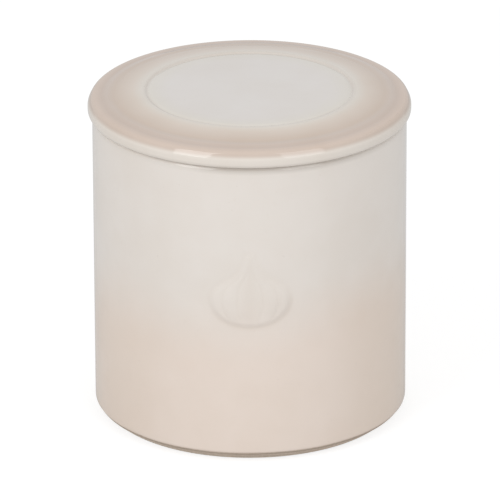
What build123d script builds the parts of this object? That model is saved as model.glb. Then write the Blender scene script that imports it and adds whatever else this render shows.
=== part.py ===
from build123d import *
import math
import os

# Garlic keeper: a glazed stoneware crock with a loose stoneware lid.
# Millimetres, +Z up. The origin is the centre of the crock's foot, on the
# table. The raised garlic bulb faces -Y and the vent holes face +Y.

# Crock
crock_diameter = 116.7
crock_height = 116.5
wall_thickness = 6.5
floor_thickness = 7.5
base_roundover = 3.2
cavity_corner_radius = 9.0
rim_outer_radius = 1.5
rim_inner_radius = 1.8

# Unglazed foot ring under the crock
foot_inset = 3.95
foot_height = 1.5
foot_width = 7.0
foot_edge_radius = 0.5
base_recess_depth = 2.0
base_recess_radius = 1.2

# Lid, which sits on the crock's rim
lid_overhang = 1.65
lid_edge_thickness = 6.35
lid_top_radius = 2.8
lid_underside_radius = 1.8
lid_rise = 2.65
lid_underside_recess = 1.8
disc_diameter = 75.4
disc_drop = 0.1
groove_width = 2.4
groove_depth = 0.5

# Locating flange under the lid, which drops into the crock's mouth
flange_clearance = 1.2
flange_depth = 8.0
flange_width = 5.0
flange_edge_radius = 1.4
flange_root_radius = 0.8

# Vent holes in staggered rows through the back wall, top row first
vent_diameter = 5.5
vent_rows = (4, 3)
vent_spacing = 15.0
vent_row_spacing = 12.0
vent_drop = 27.0
vent_countersink = 0.7

# Raised garlic bulb on the front wall
bulb_width = 30.0
bulb_height = 20.0
bulb_base_height = 54.0
neck_root_width = 16.0
neck_tip_width = 3.6
neck_height = 8.5
inner_clove_width = 9.3
outer_clove_width = 20.7
clove_line_width = 0.9
root_plate_height = 1.3
relief_height = 1.0
clove_line_depth = 0.45

crock_radius = crock_diameter / 2
bore_radius = crock_radius - wall_thickness
foot_radius = crock_radius - foot_inset
cavity_floor = base_recess_depth + floor_thickness
lid_radius = crock_radius + lid_overhang
lid_edge_top = crock_height + lid_edge_thickness
lid_top = lid_edge_top + lid_rise
flange_radius = bore_radius - flange_clearance


def turned(profile):
    """Solid of revolution about Z from (radius, height, corner radius) points."""
    points = [(radius, height) for radius, height, _ in profile]
    corners = [corner for _, _, corner in profile]
    outline = Plane.XZ * FilletPolyline(*points, radius=corners, close=True)
    return revolve(make_face(outline), Axis.Z)


def crock_pot():
    """The crock's wall, floor and foot ring, turned in one piece."""
    foot_inner_radius = foot_radius - foot_width
    rim_space = wall_thickness * 0.45
    return turned([
        (0, base_recess_depth, 0),
        (foot_inner_radius, base_recess_depth, base_recess_radius),
        (foot_inner_radius, 0, foot_edge_radius),
        (foot_radius, 0, foot_edge_radius),
        (foot_radius, foot_height, 0),
        (crock_radius, foot_height, min(base_roundover, foot_inset * 0.95)),
        (crock_radius, crock_height, min(rim_outer_radius, rim_space)),
        (bore_radius, crock_height, min(rim_inner_radius, rim_space)),
        (bore_radius, cavity_floor, cavity_corner_radius),
        (0, cavity_floor, 0),
    ])


def vent_cutter():
    """Cutter along +Z for one vent, countersunk at both faces of the wall."""
    hole = vent_diameter / 2
    past = wall_thickness / 4
    sink = min(vent_countersink, wall_thickness * 0.4)
    mouth = hole + sink + past
    return turned([
        (0, -past, 0),
        (mouth, -past, 0),
        (hole, sink, 0),
        (hole, wall_thickness - sink, 0),
        (mouth, wall_thickness + past, 0),
        (0, wall_thickness + past, 0),
    ])


def vents():
    """All vent cutters, set radially round the back wall."""
    top_row = crock_height - vent_drop
    cutter = vent_cutter()
    placed = []
    for row, count in enumerate(vent_rows):
        height = top_row - row * vent_row_spacing
        for column in range(count):
            along_wall = (column - (count - 1) / 2) * vent_spacing
            turn = math.degrees(along_wall / crock_radius)
            through_wall = Pos(0, bore_radius, height) * Rot(-90, 0, 0)
            placed.append(Rot(0, 0, turn) * through_wall * cutter)
    return placed


def bulb_shape(width, base, margin):
    """Flat bulb whose shoulders sweep up into a neck, drawn in X and height."""
    bulb_top = bulb_base_height + bulb_height
    half_width = width / 2 + margin
    half_height = (bulb_top - base) / 2 + margin
    middle = (bulb_top + base) / 2
    tip = bulb_top + neck_height + margin
    point = neck_tip_width / 2 * width / bulb_width + margin / 2
    root = min(neck_root_width / 2, half_width * 0.9)
    root_rise = half_height * math.sqrt(1 - (root / half_width) ** 2)
    shoulder_slope = (half_height / half_width) ** 2 * root / root_rise
    right = Spline((root, middle + root_rise), (point, tip),
                   tangents=((-1, shoulder_slope), (0, 1)))
    left = mirror(right, Plane.YZ)
    chord = Line((-root, middle + root_rise), (root, middle + root_rise))
    cap = Line((-point, tip), (point, tip))
    neck = make_face([right, cap, left, chord])
    return Pos(0, middle) * Ellipse(half_width, half_height) + neck


def clove_lines():
    """Lines from neck to root plate that part the bulb into cloves."""
    root_plate = bulb_base_height + root_plate_height
    lines = Sketch()
    for width in (inner_clove_width, outer_clove_width):
        outer = bulb_shape(width, root_plate, clove_line_width)
        lines += outer - bulb_shape(width, root_plate, 0)
    return lines


def on_front_wall(sketch, height):
    """The sketch raised from the front wall, its face following the wall."""
    drawn = extrude(Plane.XZ * sketch, crock_radius * 2)
    sunk = crock_radius - wall_thickness / 2
    skin = Cylinder(crock_radius + height, crock_height * 2) - Cylinder(sunk, crock_height * 2)
    return drawn & skin


def garlic_relief():
    """Raised bulb with lower lines between its cloves."""
    outline = bulb_shape(bulb_width, bulb_base_height, 0)
    ground = on_front_wall(outline, relief_height - clove_line_depth)
    return ground + on_front_wall(outline - clove_lines(), relief_height)


def lid_body():
    """Domed plate with a flat disc on top and the locating flange below."""
    disc_radius = disc_diameter / 2
    disc_level = lid_top - disc_drop
    flange_inner_radius = flange_radius - flange_width
    flange_bottom = crock_height - flange_depth
    flange_edge = min(flange_edge_radius, flange_width * 0.45)
    underside = crock_height + lid_underside_recess
    return turned([
        (0, underside, 0),
        (flange_inner_radius, underside, flange_edge_radius),
        (flange_inner_radius, flange_bottom, flange_edge),
        (flange_radius, flange_bottom, flange_edge),
        (flange_radius, crock_height, min(flange_root_radius, flange_clearance * 0.8)),
        (lid_radius, crock_height, lid_underside_radius),
        (lid_radius, lid_edge_top, lid_top_radius),
        (disc_radius + groove_width, lid_top, 0),
        (disc_radius + groove_width / 2, disc_level - groove_depth, 0),
        (disc_radius, disc_level, 0),
        (0, disc_level, 0),
    ])


os.makedirs("parts", exist_ok=True)
crock = crock_pot() + garlic_relief() - vents()
lid = lid_body()
export_step(crock, "parts/crock.step")
export_step(lid, "parts/lid.step")
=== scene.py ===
"""Looks of the garlic keeper: a glazed stoneware crock and its loose lid.

Both pieces are turned about Z in mesh code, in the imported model's frame.
Shapes and the marks on them are in millimetres, which MM turns into the
frame's metres. The camera, the lamps and the floor are in metres.
Angles are measured about Z from -Y, where the raised garlic bulb is, and
grow towards +X.
"""
import math

import bmesh
import bpy
import numpy as np
from mathutils import Matrix, Vector


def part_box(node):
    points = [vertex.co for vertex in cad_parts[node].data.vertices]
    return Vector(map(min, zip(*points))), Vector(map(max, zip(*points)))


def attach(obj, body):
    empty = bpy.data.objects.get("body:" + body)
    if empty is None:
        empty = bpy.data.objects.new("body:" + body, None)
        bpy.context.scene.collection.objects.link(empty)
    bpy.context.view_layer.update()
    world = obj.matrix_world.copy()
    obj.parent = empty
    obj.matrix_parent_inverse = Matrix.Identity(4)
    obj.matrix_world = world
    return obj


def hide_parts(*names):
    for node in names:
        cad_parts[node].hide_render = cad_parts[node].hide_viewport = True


MM = 0.001
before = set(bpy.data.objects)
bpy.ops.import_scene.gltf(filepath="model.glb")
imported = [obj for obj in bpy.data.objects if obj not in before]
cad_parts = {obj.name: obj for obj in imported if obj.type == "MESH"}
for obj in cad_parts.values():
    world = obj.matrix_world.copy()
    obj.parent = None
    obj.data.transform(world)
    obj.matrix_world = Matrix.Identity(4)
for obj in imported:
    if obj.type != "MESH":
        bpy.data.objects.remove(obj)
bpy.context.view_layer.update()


def box_mm(node):
    """A node's lowest and highest corner, in millimetres."""
    low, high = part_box(node)
    return np.array(low) / MM, np.array(high) / MM


crock_high = box_mm("crock")[1]
lid_low, lid_high = box_mm("lid")

# How far apart two sizes may be and still count as the same
NEAR = 1e-4

# Crock: as in the CAD solid, but for a bevelled rim and a fillet at the foot
CROCK_RADIUS = crock_high[0]
CROCK_TOP = crock_high[2]
WALL_THICKNESS = 6.5
BORE_RADIUS = CROCK_RADIUS - WALL_THICKNESS
RECESS_DEPTH = 2.0
FLOOR_THICKNESS = 7.5
CAVITY_FLOOR = RECESS_DEPTH + FLOOR_THICKNESS
FOOT_RADIUS = CROCK_RADIUS - 3.95
FOOT_INSIDE = FOOT_RADIUS - 7.0
FOOT_HEIGHT = 1.5
RECESS_FILLET = 1.2
FOOT_FILLET = 0.5
FOOT_ROOT_FILLET = 0.25
BASE_ROUNDOVER = 3.2
CAVITY_FILLET = 9.0
RIM_INNER_FILLET = 1.8
RIM_BEVEL_DROP = 1.0
RIM_BEVEL_INSET = 0.6
RIM_BEVEL_FILLETS = (0.7, 0.6)

# Vents through the back wall: height and number of each row, top row first
VENT_ROWS = ((CROCK_TOP - 27.0, 4), (CROCK_TOP - 39.0, 3))
VENT_SPACING = 15.0
VENT_RADIUS = 2.75
VENT_LIP = 0.9

# Each vent is set into a cell of the wall's rings and columns. The rings from
# the cell's edge to the lip, over the lip and through the hole lie at these
# shares of the way.
CELL_HALF_WIDTH = 5.0
CELL_HALF_HEIGHT = 4.8
CELL_PARTS = (0.2, 0.42, 0.63, 0.82, 1.0)
LIP_PARTS = (0.25, 0.5, 0.75, 1.0)
HOLE_PARTS = (1 / 3, 2 / 3)

# Heights of the wall's rings. The fine rings start below the bulb and end over
# its neck, and the vent rings follow, up to the top of the upper row's cells.
LOWEST_RING = 6.5
PLAIN_SPACING = 2.0
INSIDE_SPACING = 2.6
FINE_SPACING = 0.4
FINE_RINGS_BELOW_VENTS = 51
FINE_RINGS_BESIDE_VENTS = 36
VENT_RING_SPACING = 0.6
VENT_RINGS = 12
GAP_BELOW_FINE = 1.0
GAP_OVER_VENTS = 1.5
GAP_BELOW_RIM = 2.0
GAP_OVER_CAVITY_FLOOR = 11.0

# Columns of the wall: how far apart they are in front and at the back, how
# many lie on either side of the middle there, and how many each flank has,
# counting both of its ends
FRONT_SPACING = 0.3
FRONT_HALF_COUNT = 56
BACK_SPACING = 1.25
BACK_HALF_COUNT = 22
FLANK_COUNT = 56

# Hand finishing: waves of the walls, each with its size, how many go round,
# how they lean with height, and their phase. Within the steady radius the
# surface stays as turned.
WOBBLE = 0.022
WOBBLE_WAVES = ((1.0, 2, 0.0, 0.6), (0.7, 3, 0.035, 0.0), (0.5, 5, -0.05, 1.0))
CROCK_STEADY_RADIUS = 30.0
LID_STEADY_RADIUS = 35.0

# The glaze ends above the foot, in waves with a size, how many go round, and a
# phase. The clay below is darker along that edge, as painted shade under the
# glaze's lip, and paler near the foot's bottom, partly wear and partly painted
# light from the floor. The base is the outer face from the foot's root up to its
# top, and no bare clay lies further in than the foot.
GLAZE_EDGE = 3.65
GLAZE_EDGE_WAVES = ((0.10, 1, 2.6), (0.07, 3, 0.4), (0.04, 7, 1.3), (0.03, 13, 0.0))
GLAZE_EDGE_WIDTH = 0.3
GLAZE_THICKNESS = 0.22
BASE_TOP = 6.0
BASE_INSIDE = FOOT_RADIUS + 0.5
BARE_INSIDE = FOOT_INSIDE - 0.4
LIP_SHADE_DROP = 0.7
LIP_SHADE_WIDTH = 0.4
WORN_HEIGHT = 0.3
WORN_WIDTH = 0.7

# Painted shade under the lid's edge, on the crock's rim, where the lid's overhang
# shades the wall: its depth and width, the angles where it gets strong and weak
# again, and its shares at other angles, on the outer edge and on top, where it
# darkens the seam. A pair is a place and the length of the change.
RIM_SHADE_DEPTH = 2.8
RIM_SHADE_WIDTH = 2.0
RIM_SHADE_START = (-0.42, 0.24)
RIM_SHADE_END = (1.7, 1.6)
RIM_SHADE_ELSEWHERE = 0.2
RIM_SHADE_ON_EDGE = 0.4
RIM_SHADE_EDGE_DEPTH = 0.7
RIM_SHADE_ON_TOP = 0.5
RIM_SHADE_TOP_RUN = (0.15, 0.3)

# Raised garlic bulb on the front. The pulls shape the curve of its neck.
BULB_HALF_WIDTH = 15.0
BULB_HALF_HEIGHT = 10.0
BULB_MIDDLE = 64.0
NECK_ROOT_HALF_WIDTH = 8.0
NECK_ROOT_PULL = (-8.0, 3.4)
NECK_TIP_HALF_WIDTH = 1.8
NECK_TIP_HEIGHT = 82.5
NECK_TIP_PULL = (0.0, 10.0)
NECK_CAP = 0.4
BODY_POINTS = 60
NECK_POINTS = 30
BULB_REACH = 17.0
BULB_LOWEST = 52.5
BULB_HIGHEST = 84.5

# Height of the bulb over the wall: a soft edge that starts outside the
# outline, a dome, and an upper part that is lower than the rest
RELIEF_BASE = 0.42
RELIEF_DOME = 0.5
RELIEF_EDGE_WIDTH = 2.8
RELIEF_EDGE_SHARE_OUTSIDE = 0.3
DOME_WIDTH = 8.0
TOP_LOWERED_BY = 0.42
TOP_RUN = 12.0

# Lines between the cloves, at shares of the bulb's half width, and the hollow
# in its middle. They fade where the bulb is narrow and over its root plate.
CLOVE_LINES = (0.31, 0.69)
CLOVE_LINE_DEPTH = 0.11
CLOVE_LINE_WIDTH = 0.8
HOLLOW_DEPTH = 0.10
HOLLOW_SHARE = 0.24
NARROW_RUN = (2.6, 3.0)
ROOT_PLATE_RUN = (BULB_MIDDLE - BULB_HALF_HEIGHT + 1.2, 3.0)

# Glaze that gathers round the bulb and in its lines, its hollow and its neck.
# Round the bulb it is also painted shade, strongest round its lower part and
# reaching higher on the right, away from the brighter softbox.
POOL_OUTSIDE = 0.2
POOL_WIDTH = 1.1
POOL_LEAST = 0.35
POOL_SHADE_TOP = BULB_MIDDLE + 2.0
POOL_SHADE_LEAN = 0.27
POOL_SHADE_RUN = 8.0
POOL_LINE_WIDTH = 0.7
POOL_HOLLOW_SHARE = 0.2
POOL_NECK_WIDTH = 1.5
POOL_NECK_RUN = (73.0, 3.0)
POOL_IN_LINES = 0.3
POOL_IN_HOLLOW = 0.5
POOL_IN_NECK = 0.5

# Lid. Its underside is as in the CAD solid, but for the gap at its edge.
LID_RADIUS = lid_high[0]
LID_TOP = lid_high[2]
LID_SEAT = CROCK_TOP
LID_RECESS_TOP = LID_SEAT + 1.8
SEAT_RADIUS = CROCK_RADIUS - 2.4
SEAT_GAP = 0.45
FLANGE_BOTTOM = lid_low[2]
FLANGE_RADIUS = BORE_RADIUS - 1.2
FLANGE_INSIDE = FLANGE_RADIUS - 5.0
FLANGE_BARE_HEIGHT = 0.9
FLANGE_FILLET = 1.4
ROOT_FILLET = 0.8
LID_UNDER_FILLET = 1.8

# The lid's upper face: disc, shoulder, slope, and the band round its edge,
# which leans in from the cheek up to the brow
DISC_RADIUS = 37.7
DISC_LEVEL = LID_TOP - 0.1
SHOULDER_RADIUS = 40.4
SHOULDER_WIDTH = 1.6
SLOPE_FALL = 0.13537
SLOPE_END = 57.35
BROW_RADIUS = 58.62
BROW_FILLET = 2.1
CHEEK_FILLET = 3.2
EDGE_LEAN = math.radians(27.0)

# Groove round the disc, steeper outside, and rings from throwing, each with
# its radius, its height and its width
GROOVE_RADIUS = 38.1
GROOVE_DEPTH = 0.40
GROOVE_INNER_WIDTH = 1.2
GROOVE_OUTER_WIDTH = 0.5
THROWN_RINGS = ((50.2, -0.10, 1.3), (52.5, 0.06, 0.6), (54.7, -0.13, 1.0))

# The thrown rings aren't quite round: they drift in waves with a size, how
# many go round, and a phase
DRIFT_WAVES = ((0.22, 1, 0.8), (0.08, 3, 0.0))
DRIFT_START = (43.0, 3.0)
DRIFT_END = (57.2, 1.5)

# Rings of points on the upper face, in runs of a start, a spacing and a count
UPPER_RUNS = (
    (0.0, 6.0, 5), (29.0, 4.0, 2), (35.5, 0.9, 1),
    (36.4, 0.16, 35), (42.0, 0.5, 12), (48.0, 0.2, 47),
)
LID_COLUMNS = 240


# ---------------------------------------------------------------- curves

def smooth_step(value):
    """0 up to 0, 1 from 1 on, and an S curve between."""
    t = np.clip(value, 0.0, 1.0)
    return t * t * (3.0 - 2.0 * t)


def rise(value, start, width):
    """0 up to start, and 1 from a width after it."""
    return smooth_step((value - start) / width)


def fall(value, end, width):
    """1 until a width before end, and 0 from there on."""
    return smooth_step((end - value) / width)


def beneath(edge, height):
    """1 under the edge of the glaze and 0 over it."""
    return smooth_step((edge - height) / GLAZE_EDGE_WIDTH + 0.5)


def bump_at(value, middle, width):
    """1 in the middle and near 0 from two widths away."""
    return np.exp(-((value - middle) / width) ** 2)


def waves(angle, terms):
    """Sine waves round Z, each as its size, how many go round, its phase."""
    return sum(size * np.sin(count * angle + phase) for size, count, phase in terms)


def wall_wobble(angle, height):
    """How far hand finishing leaves the wall inside a true circle."""
    slow = sum(
        size * np.sin(count * angle + lean * height + phase)
        for size, count, lean, phase in WOBBLE_WAVES
    )
    most = sum(size for size, _, _, _ in WOBBLE_WAVES)
    return WOBBLE * (slow + most) / 2.0


# ---------------------------------------------------------------- outlines

def run_points(start, end, spacing):
    """Points after start up to end. A tuple as spacing lists their heights."""
    if isinstance(spacing, tuple):
        low, high = sorted((start[1], end[1]))
        margin = 0.05
        inside = [level for level in spacing if low + margin < level < high - margin]
        inside.sort(reverse=bool(end[1] < start[1]))
        return [np.array((end[0], level)) for level in inside] + [end]
    steps = max(1, math.ceil(np.linalg.norm(end - start) / spacing))
    return [start + (end - start) * k / steps for k in range(1, steps + 1)]


def arc_points(corner, before, after, radius, steps):
    """A fillet of that radius at the corner, as points from run to run."""
    to_before = (before - corner) / np.linalg.norm(before - corner)
    to_after = (after - corner) / np.linalg.norm(after - corner)
    half = math.acos(np.clip(to_before @ to_after, -1, 1)) / 2
    reach = radius / math.tan(half)
    bisector = to_before + to_after
    centre = corner + bisector / np.linalg.norm(bisector) * radius / math.sin(half)
    first = corner + to_before * reach - centre
    last = corner + to_after * reach - centre
    sweep = math.pi - 2 * half
    points = []
    for k in range(steps + 1):
        part = sweep * k / steps
        spoke = math.sin(sweep - part) * first + math.sin(part) * last
        points.append(centre + spoke / math.sin(sweep))
    return points


def rounded_line(corners):
    """A line in radius and height, with fillets.

    A corner is its radius, its height, its fillet, the number of steps in the
    fillet, and the spacing of the points on the run that follows.
    """
    places = [np.array(corner[:2], float) for corner in corners]
    line = [places[0]]
    for k in range(1, len(corners)):
        spacing = corners[k - 1][4]
        if k == len(corners) - 1:
            line += run_points(line[-1], places[k], spacing)
            break
        fillet, steps = corners[k][2:4]
        arc = arc_points(places[k], places[k - 1], places[k + 1], fillet, steps)
        line += run_points(line[-1], arc[0], spacing) + arc[1:]
    return np.array(line)


# ---------------------------------------------------------------- turned meshes

def lip_places(start_across, start_up):
    """Rings from a cell's edge to a vent's hole: across, up and depth."""
    direction = np.arctan2(start_up, start_across)
    lip = VENT_RADIUS + VENT_LIP
    for part in CELL_PARTS:
        across = start_across + (lip * np.cos(direction) - start_across) * part
        up = start_up + (lip * np.sin(direction) - start_up) * part
        yield across, up, 0.0
    for part in LIP_PARTS:
        bend = part * math.pi / 2
        ring = VENT_RADIUS + VENT_LIP * (1 - math.sin(bend))
        depth = VENT_LIP * (1 - math.cos(bend))
        yield ring * np.cos(direction), ring * np.sin(direction), depth


class TurnedMesh:
    """A line turned about Z, on which both of its ends lie.

    The quads stay apart from the other faces, by row and column, so that a
    vent can take some of them out.
    """

    def __init__(self, line, angles):
        self.rings = line[1:-1]
        self.angles = angles
        count = len(angles)
        radii = self.rings[:, :1]
        x = radii * np.sin(angles)
        y = -radii * np.cos(angles)
        z = np.repeat(self.rings[:, 1:], count, axis=1)
        self.vertices = [(0.0, 0.0, line[0][1])]
        self.vertices += [tuple(v) for v in np.stack((x, y, z), axis=2).reshape(-1, 3)]
        self.vertices.append((0.0, 0.0, line[-1][1]))
        end = len(self.vertices) - 1
        last = len(self.rings) - 1
        self.faces = [(0, self.at(0, c + 1), self.at(0, c)) for c in range(count)]
        self.faces += [(end, self.at(last, c), self.at(last, c + 1)) for c in range(count)]
        self.quads = {(row, c): self.quad(row, c) for row in range(last) for c in range(count)}

    def at(self, row, column):
        """The number of a vertex."""
        count = len(self.angles)
        return 1 + row * count + column % count

    def quad(self, row, c):
        """The face between two rows and two columns."""
        return (self.at(row, c), self.at(row, c + 1), self.at(row + 1, c + 1), self.at(row + 1, c))

    def all_faces(self):
        return self.faces + list(self.quads.values())

    def add_ring(self, places):
        """Adds vertices and returns their numbers."""
        first = len(self.vertices)
        self.vertices += places
        return list(range(first, len(self.vertices)))

    def join(self, first, second):
        """Adds the faces between two rings of vertices."""
        for k in range(len(first)):
            n = (k + 1) % len(first)
            self.faces.append((first[k], first[n], second[n], second[k]))

    def cell_edge(self, rows, columns):
        """The vertices around a block of quads, in order."""
        edge = [self.at(rows[0], c) for c in columns]
        edge += [self.at(r, columns[-1]) for r in rows[1:]]
        edge += [self.at(rows[-1], c) for c in columns[-2::-1]]
        edge += [self.at(r, columns[0]) for r in rows[-2:0:-1]]
        return edge

    def cut_cell(self, centre, height, wall_radius):
        """Takes a cell out of one face of the wall and returns its edge."""
        reach = CELL_HALF_WIDTH / CROCK_RADIUS + NEAR
        columns = [c for c, angle in enumerate(self.angles) if abs(angle - centre) < reach]
        rows = [
            r for r, (radius, level) in enumerate(self.rings)
            if abs(radius - wall_radius) < NEAR and abs(level - height) < CELL_HALF_HEIGHT + NEAR
        ]
        for r in range(min(rows), max(rows)):
            for c in columns[:-1]:
                del self.quads[r, c]
        rows.sort(key=lambda r: self.rings[r][1])
        return self.cell_edge(rows, columns)

    def open_wall(self, centre, height, wall_radius, inward):
        """Closes a cut cell down to a round hole, and returns the hole's ring."""
        ring = self.cut_cell(centre, height, wall_radius)
        start = np.array([self.vertices[v] for v in ring])
        outward = np.array((math.sin(centre), -math.cos(centre)))
        sideways = np.array((math.cos(centre), math.sin(centre)))
        for across, up, depth in lip_places(start[:, :2] @ sideways, start[:, 2] - height):
            distance = np.sqrt(wall_radius ** 2 - across ** 2) - depth * inward
            flat = np.outer(distance, outward) + np.outer(across, sideways)
            next_ring = self.add_ring([(x, y, height + h) for (x, y), h in zip(flat, up)])
            self.join(ring, next_ring)
            ring = next_ring
        return ring

    def pierce(self, centre, height):
        """Cuts one vent through the crock's wall, with a soft lip on both sides."""
        outer = self.open_wall(centre, height, CROCK_RADIUS, 1)
        inner = self.open_wall(centre, height, BORE_RADIUS, -1)
        outer_places = np.array([self.vertices[v] for v in outer])
        inner_places = np.array([self.vertices[v] for v in inner])
        ring = outer
        for part in HOLE_PARTS:
            places = outer_places * (1 - part) + inner_places * part
            next_ring = self.add_ring([tuple(place) for place in places])
            self.join(ring, next_ring)
            ring = next_ring
        self.join(ring, inner)


def polar(points):
    """The distance from Z and the angle of each point."""
    radius = np.hypot(points[:, 0], points[:, 1])
    angle = np.arctan2(points[:, 0], -points[:, 1])
    return radius, angle


def set_radius(points, radius, angle):
    points[:, 0] = radius * np.sin(angle)
    points[:, 1] = -radius * np.cos(angle)


# ---------------------------------------------------------------- garlic bulb

def bulb_outline():
    """Half of the bulb's outline, from its root up to its tip."""
    neck_root = math.acos(NECK_ROOT_HALF_WIDTH / BULB_HALF_WIDTH)
    points = [
        (BULB_HALF_WIDTH * math.cos(angle), BULB_MIDDLE + BULB_HALF_HEIGHT * math.sin(angle))
        for angle in np.linspace(-math.pi / 2, neck_root, BODY_POINTS)
    ]
    root = np.array(points[-1])
    tip = np.array((NECK_TIP_HALF_WIDTH, NECK_TIP_HEIGHT))
    for t in np.linspace(0, 1, NECK_POINTS + 1)[1:]:
        spot = (
            (2 * t ** 3 - 3 * t ** 2 + 1) * root
            + (t ** 3 - 2 * t ** 2 + t) * np.array(NECK_ROOT_PULL)
            + (3 * t ** 2 - 2 * t ** 3) * tip
            + (t ** 3 - t ** 2) * np.array(NECK_TIP_PULL)
        )
        points.append(tuple(spot))
    points.append((0.0, NECK_TIP_HEIGHT + NECK_CAP))
    return np.array(points)


def bulb_distance(side, height):
    """How far a place on the front lies inside the bulb's outline, and half
    the bulb's width at its height."""
    outline = bulb_outline()
    half_width = np.interp(height, outline[:, 1], outline[:, 0], left=0.0, right=0.0)
    place = np.stack((np.abs(side), height), axis=-1)[:, None, :]
    start = outline[:-1]
    step = outline[1:] - start
    part = np.clip(((place - start) * step).sum(2) / (step ** 2).sum(1), 0, 1)
    nearest = np.linalg.norm(place - start - part[..., None] * step, axis=2).min(1)
    inside = np.abs(side) < half_width
    return np.where(inside, nearest, -nearest), half_width


def relief_height(side, height):
    """Height of the raised bulb over the wall."""
    distance, half_width = bulb_distance(side, height)
    edge = smooth_step(distance / RELIEF_EDGE_WIDTH + RELIEF_EDGE_SHARE_OUTSIDE)
    dome = np.sin(np.clip(distance / DOME_WIDTH, 0, 1) * math.pi / 2)
    soft_top = 1.0 - TOP_LOWERED_BY * rise(height, BULB_MIDDLE, TOP_RUN)
    raised = edge * soft_top * (RELIEF_BASE + RELIEF_DOME * dome)
    fade = rise(half_width, *NARROW_RUN) * rise(height, *ROOT_PLATE_RUN)
    for share in CLOVE_LINES:
        line = bump_at(np.abs(side), share * half_width, CLOVE_LINE_WIDTH)
        raised = raised - CLOVE_LINE_DEPTH * line * fade * edge
    hollow = bump_at(side, 0.0, HOLLOW_SHARE * np.maximum(half_width, 1.0))
    raised = raised - HOLLOW_DEPTH * hollow * fade * edge
    return np.maximum(raised, 0.0)


def glaze_and_shade_round_bulb(side, height):
    """Where the glaze gathers around the bulb and in its lines, with painted shade along the
    bulb's lower and right edge.
    """
    distance, half_width = bulb_distance(side, height)
    shaded_low_part = fall(height, POOL_SHADE_TOP + POOL_SHADE_LEAN * side, POOL_SHADE_RUN)
    around = bump_at(distance, -POOL_OUTSIDE, POOL_WIDTH)
    around = around * (POOL_LEAST + (1.0 - POOL_LEAST) * shaded_low_part)
    inside = distance > 0
    fade = rise(half_width, *NARROW_RUN) * inside
    lines = np.maximum.reduce([
        bump_at(np.abs(side), share * half_width, POOL_LINE_WIDTH) * fade
        for share in CLOVE_LINES
    ])
    hollow = bump_at(side, 0.0, POOL_HOLLOW_SHARE * np.maximum(half_width, 1.0)) * fade
    neck = bump_at(side, 0.0, POOL_NECK_WIDTH) * rise(height, *POOL_NECK_RUN) * inside
    return np.maximum.reduce([
        around, POOL_IN_LINES * lines, POOL_IN_HOLLOW * hollow, POOL_IN_NECK * neck,
    ])


# ---------------------------------------------------------------- crock

def wall_levels():
    """Heights of the rings on the outer and on the inner wall.

    Both rows of vents have a ring at the top and the bottom of their cells.
    """
    vents_bottom = VENT_ROWS[-1][0] - CELL_HALF_HEIGHT
    fine = [
        vents_bottom + FINE_SPACING * k
        for k in range(-FINE_RINGS_BELOW_VENTS, FINE_RINGS_BESIDE_VENTS + 1)
    ]
    beside_vents = fine[FINE_RINGS_BELOW_VENTS:]
    upper = [fine[-1] + VENT_RING_SPACING * k for k in range(1, VENT_RINGS + 1)]
    above = list(np.arange(upper[-1] + GAP_OVER_VENTS, CROCK_TOP - GAP_BELOW_RIM, PLAIN_SPACING))
    below = list(np.arange(LOWEST_RING, fine[0] - GAP_BELOW_FINE, PLAIN_SPACING))
    inside_start = CAVITY_FLOOR + GAP_OVER_CAVITY_FLOOR
    inside_below = list(np.arange(inside_start, beside_vents[0] - GAP_BELOW_FINE, INSIDE_SPACING))
    return tuple(below + fine + upper + above), tuple(inside_below + beside_vents + upper + above)


def crock_line():
    """From under the crock's floor, round its foot, up the wall, over the rim
    and down to the floor of the cavity."""
    outer_levels, inner_levels = wall_levels()
    bevel_start, bevel_end = RIM_BEVEL_FILLETS
    # Radius, height, fillet, its steps, spacing on the run that follows
    return rounded_line((
        (0.0, RECESS_DEPTH, 0, 0, 6.0),
        (FOOT_INSIDE, RECESS_DEPTH, RECESS_FILLET, 5, 0.6),
        (FOOT_INSIDE, 0.0, FOOT_FILLET, 4, 1.2),
        (FOOT_RADIUS, 0.0, FOOT_FILLET, 4, 0.4),
        (FOOT_RADIUS, FOOT_HEIGHT, FOOT_ROOT_FILLET, 3, 0.3),
        (CROCK_RADIUS, FOOT_HEIGHT, BASE_ROUNDOVER, 32, outer_levels),
        (CROCK_RADIUS, CROCK_TOP - RIM_BEVEL_DROP, bevel_start, 6, 0.1),
        (CROCK_RADIUS - RIM_BEVEL_INSET, CROCK_TOP, bevel_end, 6, 0.8),
        (BORE_RADIUS, CROCK_TOP, RIM_INNER_FILLET, 8, inner_levels),
        (BORE_RADIUS, CAVITY_FLOOR, CAVITY_FILLET, 12, 4.0),
        (0.0, CAVITY_FLOOR, 0, 0, 0),
    ))


def crock_angles():
    """Turning steps: fine over the bulb and even over the vents."""
    front = np.arange(-FRONT_HALF_COUNT, FRONT_HALF_COUNT + 1) * FRONT_SPACING / CROCK_RADIUS
    back = np.arange(-BACK_HALF_COUNT, BACK_HALF_COUNT + 1) * BACK_SPACING / CROCK_RADIUS
    back = math.pi + back
    right = np.linspace(front[-1], back[0], FLANK_COUNT)[1:-1]
    left = np.linspace(back[-1], front[0] + 2 * math.pi, FLANK_COUNT)[1:-1]
    return np.concatenate((front, right, back, left))


def vent_places():
    """The angle and the height of each vent."""
    for height, count in VENT_ROWS:
        for k in range(count):
            side = (k - (count - 1) / 2) * VENT_SPACING
            yield math.pi + side / CROCK_RADIUS, height


def bulb_on_wall(radius, angle, height):
    """The bulb's relief, and its gathered glaze with painted shade, for every point."""
    side = angle * CROCK_RADIUS
    front = (radius > CROCK_RADIUS - NEAR) & (np.abs(side) < BULB_REACH)
    front = front & (height > BULB_LOWEST) & (height < BULB_HIGHEST)
    raised = np.zeros(len(radius))
    pool = np.zeros(len(radius))
    raised[front] = relief_height(side[front], height[front])
    pool[front] = glaze_and_shade_round_bulb(side[front], height[front])
    return raised, pool


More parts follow.
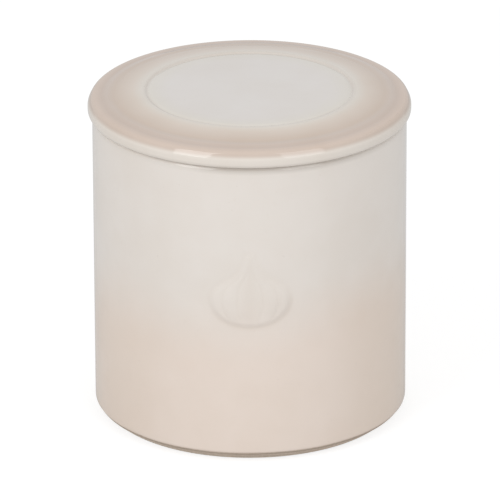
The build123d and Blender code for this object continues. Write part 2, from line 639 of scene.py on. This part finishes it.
def painted_rim_shade(radius, angle, height):
    """How strongly shade from the lid's overhang is painted on the crock's rim."""
    on_rim = radius > CROCK_RADIUS - RIM_SHADE_WIDTH
    below_rim = np.where(on_rim, CROCK_TOP - height, RIM_SHADE_DEPTH)
    strong = rise(angle, *RIM_SHADE_START) * fall(angle, *RIM_SHADE_END)
    tint = RIM_SHADE_ELSEWHERE + (1.0 - RIM_SHADE_ELSEWHERE) * strong
    tint = tint * (1.0 - smooth_step(below_rim / RIM_SHADE_DEPTH))
    past_edge = smooth_step(below_rim / RIM_SHADE_EDGE_DEPTH)
    tint = tint * (RIM_SHADE_ON_EDGE + (1.0 - RIM_SHADE_ON_EDGE) * past_edge)
    on_top = 1.0 - rise(below_rim, *RIM_SHADE_TOP_RUN)
    return np.maximum(tint, RIM_SHADE_ON_TOP * on_top)


def crock_mesh():
    """The crock's points and faces, and the marks of its glaze and clay, some of them painted
    light and shade.
    """
    mesh = TurnedMesh(crock_line(), crock_angles())
    for angle, height in vent_places():
        mesh.pierce(angle, height)
    points = np.array(mesh.vertices)
    radius, angle = polar(points)
    height = points[:, 2]
    raised, pool = bulb_on_wall(radius, angle, height)
    edge = GLAZE_EDGE + waves(angle, GLAZE_EDGE_WAVES)
    clay = beneath(edge, height)
    on_base = (height > FOOT_HEIGHT - NEAR) & (height < BASE_TOP) & (radius > BASE_INSIDE)
    shift = raised - wall_wobble(angle, height) - np.where(on_base, GLAZE_THICKNESS * clay, 0.0)
    shift = np.where(radius > CROCK_STEADY_RADIUS, shift, 0.0)
    set_radius(points, radius + shift, angle)
    return points, mesh.all_faces(), {
        "bare": clay * (radius > BARE_INSIDE),
        # painted shade under the glaze's lip
        "burnt": bump_at(height, edge - LIP_SHADE_DROP, LIP_SHADE_WIDTH) * on_base,
        # gathered glaze, and painted shade along the bulb's lower and right edge
        "pool": pool,
        # painted shade under the lid's edge
        "rim": painted_rim_shade(radius, angle, height),
        # wear, and painted light from the floor
        "worn": bump_at(height, WORN_HEIGHT, WORN_WIDTH) * (1.0 - on_base),
    }


# ---------------------------------------------------------------- lid

def lid_top_height(radius):
    """Height of the lid's upper face: disc, groove, slope and thrown rings."""
    slope = LID_TOP - SLOPE_FALL * np.maximum(radius - SHOULDER_RADIUS, 0.0)
    blend = rise(radius, DISC_RADIUS, SHOULDER_WIDTH)
    inner = DISC_LEVEL * (1 - blend) + LID_TOP * blend
    level = np.where(radius < SHOULDER_RADIUS, inner, slope)
    groove_width = np.where(radius < GROOVE_RADIUS, GROOVE_INNER_WIDTH, GROOVE_OUTER_WIDTH)
    level = level - GROOVE_DEPTH * bump_at(radius, GROOVE_RADIUS, groove_width)
    for middle, height, width in THROWN_RINGS:
        level = level + height * bump_at(radius, middle, width)
    return level


def lid_line():
    """Over the lid's upper face, round its edge and its flange, and under the
    recess back to Z."""
    radii = [start + spacing * k for start, spacing, count in UPPER_RUNS for k in range(count)]
    upper = [(radius, float(lid_top_height(radius))) for radius in radii]
    brow_height = lid_top_height(BROW_RADIUS)
    cheek_height = brow_height - (LID_RADIUS - BROW_RADIUS) / math.tan(EDGE_LEAN)
    # Radius, height, fillet, its steps, spacing on the run that follows
    edge = rounded_line((
        (SLOPE_END, lid_top_height(SLOPE_END), 0, 0, 0.3),
        (BROW_RADIUS, brow_height, BROW_FILLET, 12, 0.4),
        (LID_RADIUS, cheek_height, CHEEK_FILLET, 10, 0.5),
        (LID_RADIUS, LID_SEAT + SEAT_GAP, LID_UNDER_FILLET, 10, 0.5),
        (SEAT_RADIUS, LID_SEAT, ROOT_FILLET, 3, 0.8),
        (FLANGE_RADIUS, LID_SEAT, ROOT_FILLET, 5, 0.8),
        (FLANGE_RADIUS, FLANGE_BOTTOM, FLANGE_FILLET, 6, 0.8),
        (FLANGE_INSIDE, FLANGE_BOTTOM, FLANGE_FILLET, 6, 0.8),
        (FLANGE_INSIDE, LID_RECESS_TOP, ROOT_FILLET, 5, 5.0),
        (0.0, LID_RECESS_TOP, 0, 0, 0),
    ))
    return np.vstack((np.array(upper), edge))


def lid_mesh():
    """The lid's points and faces, and the mark of its bare clay."""
    angles = np.linspace(0, 2 * math.pi, LID_COLUMNS, endpoint=False)
    mesh = TurnedMesh(lid_line(), angles)
    points = np.array(mesh.vertices)
    radius, angle = polar(points)
    height = points[:, 2]
    above_middle = height > (LID_RECESS_TOP + LID_TOP) / 2
    on_slope = above_middle & (radius > DRIFT_START[0]) & (radius < DRIFT_END[0])
    drift = waves(angle, DRIFT_WAVES) * rise(radius, *DRIFT_START) * fall(radius, *DRIFT_END)
    moved = lid_top_height(radius - drift) - lid_top_height(radius)
    points[:, 2] = np.where(on_slope, height + moved, height)
    shift = np.where(radius > LID_STEADY_RADIUS, wall_wobble(angle, height), 0.0)
    set_radius(points, radius - shift, angle)
    bare = beneath(FLANGE_BOTTOM + FLANGE_BARE_HEIGHT, height)
    return points, mesh.all_faces(), {"bare": bare}


# ---------------------------------------------------------------- materials

def colour(red, green, blue):
    """A display colour, 0 to 255, as the linear value that a socket takes."""
    parts = []
    for value in (red, green, blue):
        v = value / 255
        parts.append(v / 12.92 if v <= 0.04045 else ((v + 0.055) / 1.055) ** 2.4)
    return (*parts, 1.0)


class Nodes:
    """A few short calls for building one node tree."""

    def __init__(self, tree):
        self.tree = tree

    def node(self, kind, **settings):
        node = self.tree.nodes.new(kind)
        for key, value in settings.items():
            setattr(node, key, value)
        return node

    def feed(self, socket, value):
        """Links the socket to another one, or sets its value."""
        if isinstance(value, bpy.types.NodeSocket):
            self.tree.links.new(value, socket)
        else:
            socket.default_value = value

    def math(self, operation, first, second=0.0, third=0.0):
        node = self.node("ShaderNodeMath", operation=operation)
        for socket, value in zip(node.inputs, (first, second, third)):
            self.feed(socket, value)
        return node.outputs[0]


class Shader(Nodes):
    """The nodes of one surface, placed by the piece's own coordinates."""

    def __init__(self, name):
        self.material = bpy.data.materials.new(name)
        self.material.use_nodes = True
        super().__init__(self.material.node_tree)
        self.surface = self.tree.nodes["Principled BSDF"]
        self.place = self.node("ShaderNodeTexCoord").outputs["Object"]

    def scaled_place(self, scale):
        node = self.node("ShaderNodeVectorMath", operation="MULTIPLY")
        self.feed(node.inputs[0], self.place)
        node.inputs[1].default_value = scale
        return node.outputs[0]

    def noise(self, size, detail, seed, stretch=None):
        """Noise whose features are about size millimetres across, 0 to 1."""
        place = self.scaled_place(stretch) if stretch else self.place
        node = self.node("ShaderNodeTexNoise", noise_dimensions="4D")
        self.feed(node.inputs["Vector"], place)
        node.inputs["W"].default_value = seed
        node.inputs["Scale"].default_value = 1.0 / (size * MM)
        node.inputs["Detail"].default_value = detail
        return node.outputs["Fac"]

    def between(self, value, low, high, to_low=0.0, to_high=1.0):
        """An S curve from to_low, where the value is low, to to_high."""
        node = self.node("ShaderNodeMapRange", interpolation_type="SMOOTHSTEP")
        self.feed(node.inputs["Value"], value)
        node.inputs["From Min"].default_value = low
        node.inputs["From Max"].default_value = high
        node.inputs["To Min"].default_value = to_low
        node.inputs["To Max"].default_value = to_high
        return node.outputs["Result"]

    def patches(self, size, detail, seed, levels=(0.3, 0.7), values=(0.0, 1.0)):
        """Noise, with these levels of it turned into these values."""
        return self.between(self.noise(size, detail, seed), *levels, *values)

    def relief(self, size, detail, seed, height):
        """Noise as a relief of up to this height in millimetres."""
        return self.math("MULTIPLY", self.noise(size, detail, seed), height * MM)

    def mix(self, factor, first, second, blend="MIX"):
        node = self.node("ShaderNodeMix", data_type="RGBA", blend_type=blend)
        self.feed(node.inputs["Factor"], factor)
        self.feed(node.inputs["A"], first)
        self.feed(node.inputs["B"], second)
        return next(s for s in node.outputs if s.type == "RGBA")

    def mark(self, name):
        """One of the marks that the mesh carries, 0 to 1."""
        return self.node("ShaderNodeAttribute", attribute_name=name).outputs["Fac"]

    def tint_by(self, name, most, base, tint):
        """The tint over the base where the mark is, up to this share of it."""
        return self.mix(self.math("MULTIPLY", self.mark(name), most), base, tint)

    def axis(self, name):
        node = self.node("ShaderNodeSeparateXYZ")
        self.feed(node.inputs[0], self.place)
        return node.outputs[name]

    def ring_radius(self):
        """The distance from Z."""
        length = self.node("ShaderNodeVectorMath", operation="LENGTH")
        self.feed(length.inputs[0], self.scaled_place((1.0, 1.0, 0.0)))
        return length.outputs["Value"]

    def ramp(self, factor, stops):
        node = self.node("ShaderNodeValToRGB")
        self.feed(node.inputs["Fac"], factor)
        elements = node.color_ramp.elements
        while len(elements) < len(stops):
            elements.new(0.5)
        for element, (position, value) in zip(elements, stops):
            element.position = position
            element.color = value
        return node.outputs["Color"]


OFF_WHITE = colour(236, 229, 222)
BEIGE = colour(238, 224, 213)
# Deeper beige: painted shade at the left and right sides
SIDE_SHADE_BEIGE = colour(233, 218, 205)
# Also the colour of painted shade round the garlic bulb
POOLED = colour(214, 199, 184)
CLOUD_TINT = colour(247, 244, 240)
CLAY_LIGHT = colour(228, 214, 200)
CLAY_DARK = colour(210, 194, 178)
# Paler clay near the foot's bottom: partly wear, partly painted light from the floor
CLAY_WORN_AND_LIT = colour(244, 230, 214)
# Painted shade under the lid's edge, on the crock's rim
RIM_SHADE_COLOUR = colour(192, 184, 175)
SPECK = colour(150, 132, 112)
# Painted shade under the lip of the glaze, on the foot
LIP_SHADE_COLOUR = colour(160, 142, 126)

# The lid's glaze from its middle outwards: radius and colour. The beige over
# the slope is the glaze's own colour. The disc is a little darker than the
# crock's off-white as painted shade on the lid's top, the stop at the groove is
# painted shade in it, the next one out is a painted highlight on the groove's
# outer lip, and the stops over the brow, darker outwards, are painted shade.
LID_GLAZE_AND_PAINTED_LIGHT = (
    (30.0, colour(230, 225, 221)),
    (37.2, colour(229, 224, 216)),
    (38.2, colour(221, 213, 205)),
    (39.9, colour(229, 222, 213)),
    (43.5, colour(224, 211, 199)),
    (50.3, colour(211, 194, 180)),
    (52.5, colour(211, 196, 185)),
    (54.7, colour(208, 191, 179)),
    (57.5, colour(218, 200, 187)),
    (58.7, colour(215, 198, 185)),
    (59.6, colour(209, 193, 181)),
)
LID_EDGE = colour(233, 225, 216)

# How strongly the marks on the crock show: gathered glaze with painted shade round
# the bulb, painted shade on the rim, wear with painted light on the foot, and
# painted shade under the glaze's lip
MOST_POOL_AND_SHADE = 0.18
MOST_RIM_SHADE = 0.8
MOST_WORN_AND_LIT = 0.6
MOST_LIP_SHADE = 0.8

# Patches in the colour and in the roughness of the glaze and the clay
CLOUDS = {"size": 22.0, "detail": 3.0, "seed": 1.0, "levels": (0.35, 0.7), "values": (0.0, 0.35)}
GRAIN = {"size": 1.7, "detail": 2.0, "seed": 2.0, "levels": (0.62, 0.78), "values": (0.0, 0.05)}
SPECKS = {"size": 0.9, "detail": 0.0, "seed": 3.0, "levels": (0.80, 0.88), "values": (0.0, 0.08)}
CLAY_GRAIN = {"size": 0.8, "detail": 4.0, "seed": 5.0}
GLOSS = {"size": 9.0, "detail": 3.0, "seed": 6.0, "values": (0.035, 0.075)}
MATT = {"size": 0.6, "detail": 2.0, "seed": 7.0, "values": (0.74, 0.92)}
GLAZE_IOR = 1.52

# Fine relief of the glaze and of the clay
PEEL = {"size": 2.6, "detail": 2.0, "seed": 8.0, "height": 0.012}
SWELL = {"size": 14.0, "detail": 1.0, "seed": 9.0, "height": 0.06}
GRIT = {"size": 0.5, "detail": 3.0, "seed": 10.0, "height": 0.08}

# The crock's glaze turns from off-white to beige between two levels. A level
# is a height with an offset that leans along X, differs between the middle and
# the sides, and drifts in clouds. The beige is deeper at the sides. The offset
# between middle and sides and the deeper beige are painted shade, darker at the
# left and right than in front.
BEIGE_START = 75.0
BEIGE_END = 40.0
LEVEL_LEAN = -0.08
LEVEL_REACH = 55.0
LEVEL_IN_MIDDLE = 4.5
LEVEL_AT_SIDES = -2.5
LEVEL_CLOUDS = {"size": 26.0, "detail": 3.0, "seed": 11.0, "stretch": (1.0, 1.0, 0.6)}
LEVEL_DRIFT = 16.0
SIDE_SHADE_START = 24.0
SIDE_SHADE_END = 50.0

# The lid's colours drift across its rings, and give way to its edge's colour
RING_CLOUDS = {"size": 18.0, "detail": 2.0, "seed": 12.0}
RING_DRIFT = 1.2
RINGS_BOTTOM = LID_TOP - 3.4
EDGE_TOP = LID_TOP - 5.1


def mottled(shader, base):
    """Slow clouds and a few soft specks, as in a fired glaze."""
    tinted = shader.mix(1.0, base, CLOUD_TINT, "MULTIPLY")
    glaze = shader.mix(shader.patches(**CLOUDS), base, tinted)
    glaze = shader.mix(shader.patches(**GRAIN), glaze, POOLED)
    return shader.mix(shader.patches(**SPECKS), glaze, SPECK)


def clay_colour(shader):
    """Grainy clay, paler on the foot, partly wear and partly painted light, and darker along the
    glaze as painted shade under its lip.
    """
    clay = shader.mix(shader.patches(**CLAY_GRAIN), CLAY_DARK, CLAY_LIGHT)
    # Wear, and painted light from the floor, near the foot's bottom
    clay = shader.tint_by("worn", MOST_WORN_AND_LIT, clay, CLAY_WORN_AND_LIT)
    # Painted shade under the glaze's lip
    return shader.tint_by("burnt", MOST_LIP_SHADE, clay, LIP_SHADE_COLOUR)


def roughness(shader, glazed, bare):
    gloss = shader.math("MULTIPLY", shader.patches(**GLOSS), glazed)
    matt = shader.math("MULTIPLY", shader.patches(**MATT), bare)
    return shader.math("ADD", gloss, matt)


def fine_relief(shader, glazed, bare):
    """The surface's normal, with a soft relief of the glaze and gritty clay."""
    glaze = shader.math("ADD", shader.relief(**PEEL), shader.relief(**SWELL))
    glaze = shader.math("MULTIPLY", glaze, glazed)
    height = shader.math("MULTIPLY_ADD", shader.relief(**GRIT), bare, glaze)
    bump = shader.node("ShaderNodeBump")
    bump.inputs["Strength"].default_value = 1.0
    bump.inputs["Distance"].default_value = 1.0
    shader.feed(bump.inputs["Height"], height)
    return bump.outputs["Normal"]


def finish_surface(shader, glaze):
    """Glaze over clay: colour, roughness and relief of both, mixed by 'bare'."""
    bare = shader.mark("bare")
    glazed = shader.math("SUBTRACT", 1.0, bare)
    inputs = shader.surface.inputs
    inputs["IOR"].default_value = GLAZE_IOR
    shader.feed(inputs["Base Color"], shader.mix(bare, glaze, clay_colour(shader)))
    shader.feed(inputs["Roughness"], roughness(shader, glazed, bare))
    shader.feed(inputs["Normal"], fine_relief(shader, glazed, bare))
    return shader.material


def crock_material():
    """Off-white above and beige below, with pooled glaze; painted shade round the bulb, at the
    sides and on the rim under the lid.
    """
    shader = Shader("crock_glazed_stoneware")
    aside = shader.math("ABSOLUTE", shader.axis("X"))
    level = shader.math("MULTIPLY_ADD", shader.axis("X"), LEVEL_LEAN, shader.axis("Z"))
    # Beige reaching higher at the sides than in the middle: painted shade
    arch = shader.between(aside, 0.0, LEVEL_REACH * MM, LEVEL_IN_MIDDLE * MM, LEVEL_AT_SIDES * MM)
    level = shader.math("ADD", level, arch)
    cloud = shader.math("SUBTRACT", shader.noise(**LEVEL_CLOUDS), 0.5)
    level = shader.math("MULTIPLY_ADD", cloud, LEVEL_DRIFT * MM, level)
    low = shader.between(level, BEIGE_START * MM, BEIGE_END * MM)
    # Deeper beige at the sides: painted shade
    side_shade = shader.between(aside, SIDE_SHADE_START * MM, SIDE_SHADE_END * MM)
    glaze = shader.mix(low, OFF_WHITE, shader.mix(side_shade, BEIGE, SIDE_SHADE_BEIGE))
    # Glaze gathered round the bulb, and painted shade along its lower and right edge
    glaze = shader.tint_by("pool", MOST_POOL_AND_SHADE, glaze, POOLED)
    # Painted shade under the lid's edge, on the rim
    glaze = shader.tint_by("rim", MOST_RIM_SHADE, glaze, RIM_SHADE_COLOUR)
    return finish_surface(shader, mottled(shader, glaze))


def lid_material():
    """Rings of glaze colour with painted light and shade on the upper face, and a paler edge."""
    shader = Shader("lid_glazed_stoneware")
    cloud = shader.math("SUBTRACT", shader.noise(**RING_CLOUDS), 0.5)
    radius = shader.math("MULTIPLY_ADD", cloud, RING_DRIFT * MM, shader.ring_radius())
    share = shader.math("DIVIDE", radius, LID_RADIUS * MM)
    rings = shader.ramp(share, [(ring / LID_RADIUS, glaze) for ring, glaze in LID_GLAZE_AND_PAINTED_LIGHT])
    upper = shader.between(shader.axis("Z"), EDGE_TOP * MM, RINGS_BOTTOM * MM)
    glaze = shader.mix(upper, LID_EDGE, rings)
    return finish_surface(shader, mottled(shader, glaze))


# ---------------------------------------------------------------- pieces

def make_piece(name, points, faces, marks, material):
    """A smooth object, with each mark as an attribute of its points."""
    mesh = bpy.data.meshes.new(name)
    mesh.from_pydata((points * MM).tolist(), [], faces)
    for key, values in marks.items():
        layer = mesh.attributes.new(key, "FLOAT", "POINT")
        layer.data.foreach_set("value", np.asarray(values, np.float32))
    editable = bmesh.new()
    editable.from_mesh(mesh)
    unused = [vertex for vertex in editable.verts if not vertex.link_faces]
    bmesh.ops.delete(editable, geom=unused, context="VERTS")
    bmesh.ops.recalc_face_normals(editable, faces=editable.faces)
    editable.to_mesh(mesh)
    editable.free()
    mesh.polygons.foreach_set("use_smooth", [True] * len(mesh.polygons))
    mesh.materials.append(material)
    piece = bpy.data.objects.new(name, mesh)
    bpy.context.scene.collection.objects.link(piece)
    return piece


crock = make_piece("crock_shell", *crock_mesh(), crock_material())
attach(crock, "crock_body")
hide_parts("crock")

lid = make_piece("lid_shell", *lid_mesh(), lid_material())
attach(lid, "lid_body")
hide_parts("lid")


# ---------------------------------------------------------------- studio

TARGET = Vector((0.00002, 0.0, 0.06075))
CAMERA_DISTANCE = 2.5323
CAMERA_ELEVATION = math.radians(22.2)
CAMERA_ROLL = math.radians(-0.2)
LENS = 486.8
SENSOR_WIDTH = 36.0

# Softboxes: azimuth from the camera's side and elevation in degrees, width
# and power
SOFTBOXES = {
    "softbox_left": (-42.0, 35.5, 0.55, 4.65),
    "softbox_right": (39.5, 35.5, 0.62, 3.22),
}
SOFTBOX_HEIGHT = 0.85
SOFTBOX_DISTANCE = 1.3

# The world is white to the camera, and dimmer in gloss and as light
WORLD_SEEN = 1.0
WORLD_IN_GLOSS = 0.78
WORLD_LIGHT = 0.6

# The floor glows to the camera, and a little in gloss, but gives no light
FLOOR_RADIUS = 6.0
FLOOR_CORNERS = 64
FLOOR_HEIGHT = -0.00005
FLOOR_GREY = 0.76
FLOOR_ROUGHNESS = 0.9
FLOOR_GLOW = 1.4
FLOOR_GLOW_SEEN = 0.55
FLOOR_GLOW_IN_GLOSS = 0.08


def direction(azimuth, elevation):
    """Away from the object, with the azimuth from the camera's side."""
    return Vector((
        math.sin(azimuth) * math.cos(elevation),
        -math.cos(azimuth) * math.cos(elevation),
        math.sin(elevation),
    ))


def add_camera():
    data = bpy.data.cameras.new("camera")
    data.lens = LENS
    data.sensor_width = SENSOR_WIDTH
    camera = bpy.data.objects.new("camera", data)
    camera.location = TARGET + direction(0.0, CAMERA_ELEVATION) * CAMERA_DISTANCE
    tilt = Matrix.Rotation(math.pi / 2 - CAMERA_ELEVATION, 3, "X")
    camera.rotation_euler = (tilt @ Matrix.Rotation(CAMERA_ROLL, 3, "Z")).to_euler()
    bpy.context.scene.collection.objects.link(camera)
    bpy.context.scene.camera = camera


def add_softbox(name, azimuth, elevation, width, power):
    """A tall softbox that faces the object and stays out of the picture."""
    data = bpy.data.lights.new(name, "AREA")
    data.shape = "RECTANGLE"
    data.size = width
    data.size_y = SOFTBOX_HEIGHT
    data.energy = power
    lamp = bpy.data.objects.new(name, data)
    away = direction(math.radians(azimuth), math.radians(elevation))
    lamp.location = TARGET + away * SOFTBOX_DISTANCE
    lamp.rotation_euler = (-away).to_track_quat("-Z", "Y").to_euler()
    lamp.visible_camera = False
    bpy.context.scene.collection.objects.link(lamp)


def ray_strength(tree, camera, glossy, other):
    """A strength for what the camera sees, what gloss shows, and the light."""
    nodes = Nodes(tree)
    rays = nodes.node("ShaderNodeLightPath").outputs
    seen = nodes.math("ADD", rays["Is Camera Ray"], rays["Is Transmission Ray"])
    seen = nodes.math("MULTIPLY", seen, camera - other)
    shown = nodes.math("MULTIPLY_ADD", rays["Is Glossy Ray"], glossy - other, seen)
    return nodes.math("ADD", shown, other)


def add_world():
    world = bpy.data.worlds.new("studio")
    world.use_nodes = True
    bpy.context.scene.world = world
    background = world.node_tree.nodes["Background"]
    background.inputs["Color"].default_value = (1.0, 1.0, 1.0, 1.0)
    strength = ray_strength(world.node_tree, WORLD_SEEN, WORLD_IN_GLOSS, WORLD_LIGHT)
    world.node_tree.links.new(strength, background.inputs["Strength"])


def floor_material():
    """Pale, with a glow for the camera, so that only a soft shadow shows."""
    material = bpy.data.materials.new("studio_floor")
    material.use_nodes = True
    tree = material.node_tree
    surface = tree.nodes["Principled BSDF"]
    surface.inputs["Base Color"].default_value = (FLOOR_GREY, FLOOR_GREY, FLOOR_GREY, 1.0)
    surface.inputs["Roughness"].default_value = FLOOR_ROUGHNESS
    surface.inputs["Specular IOR Level"].default_value = 0.0
    glow = tree.nodes.new("ShaderNodeEmission")
    glow.inputs["Strength"].default_value = FLOOR_GLOW
    glow_share = ray_strength(tree, FLOOR_GLOW_SEEN, FLOOR_GLOW_IN_GLOSS, 0.0)
    blend = tree.nodes.new("ShaderNodeMixShader")
    tree.links.new(glow_share, blend.inputs["Fac"])
    tree.links.new(surface.outputs[0], blend.inputs[1])
    tree.links.new(glow.outputs[0], blend.inputs[2])
    tree.links.new(blend.outputs[0], tree.nodes["Material Output"].inputs["Surface"])
    return material


def add_floor():
    """A round floor, just under the foot."""
    mesh = bpy.data.meshes.new("floor")
    corners = [
        (FLOOR_RADIUS * math.cos(angle), FLOOR_RADIUS * math.sin(angle), FLOOR_HEIGHT)
        for angle in np.linspace(0, 2 * math.pi, FLOOR_CORNERS, endpoint=False)
    ]
    mesh.from_pydata(corners, [], [tuple(range(len(corners)))])
    mesh.materials.append(floor_material())
    floor = bpy.data.objects.new("floor", mesh)
    bpy.context.scene.collection.objects.link(floor)


add_camera()
for softbox, settings in SOFTBOXES.items():
    add_softbox(softbox, *settings)
add_world()
add_floor()
bpy.context.scene.view_settings.view_transform = "Standard"
